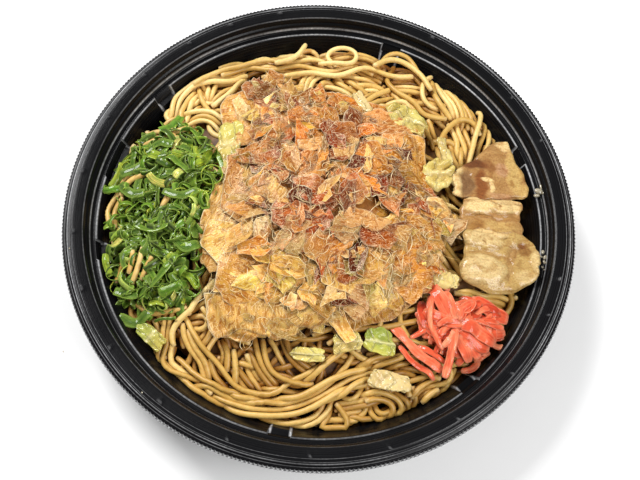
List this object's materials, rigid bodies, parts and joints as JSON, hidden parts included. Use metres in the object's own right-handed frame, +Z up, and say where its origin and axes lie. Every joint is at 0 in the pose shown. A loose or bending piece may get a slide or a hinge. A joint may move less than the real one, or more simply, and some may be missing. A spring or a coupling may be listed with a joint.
{
  "type": "fried noodles in a round tray",
  "caption": "Fried noodles heaped in a round black tray, topped with dried fish flakes, chopped scallions, pork belly slices, cabbage and red pickled ginger strips.",
  "frame": {"origin": "middle of the tray's underside, on the surface that it stands on", "axes": "+Z up, +Y to the far side of the dish, +X to the side of the pork slices"},
  "size_m": [0.21, 0.21, 0.0542],
  "materials": {
    "tray_plastic": "satin",
    "noodle": "satin",
    "scallion": "satin",
    "fish_flake": "satin",
    "ginger": "satin",
    "pork": "satin",
    "cabbage_leaf": "satin"
  },
  "bodies": {
    "root": {"tray": "tray_plastic", "noodles": "noodle", "scallions": "scallion", "bonito_flakes": "fish_flake", "red_ginger": "ginger", "pork_slice_1": "pork", "pork_slice_2": "pork", "pork_slice_3": "pork", "cabbage_1": "cabbage_leaf", "cabbage_2": "cabbage_leaf", "cabbage_3": "cabbage_leaf", "cabbage_4": "cabbage_leaf", "cabbage_5": "cabbage_leaf", "cabbage_6": "cabbage_leaf", "cabbage_7": "cabbage_leaf", "cabbage_8": "cabbage_leaf", "cabbage_9": "cabbage_leaf", "cabbage_10": "cabbage_leaf", "cabbage_11": "cabbage_leaf"}
  },
  "joints": []
}
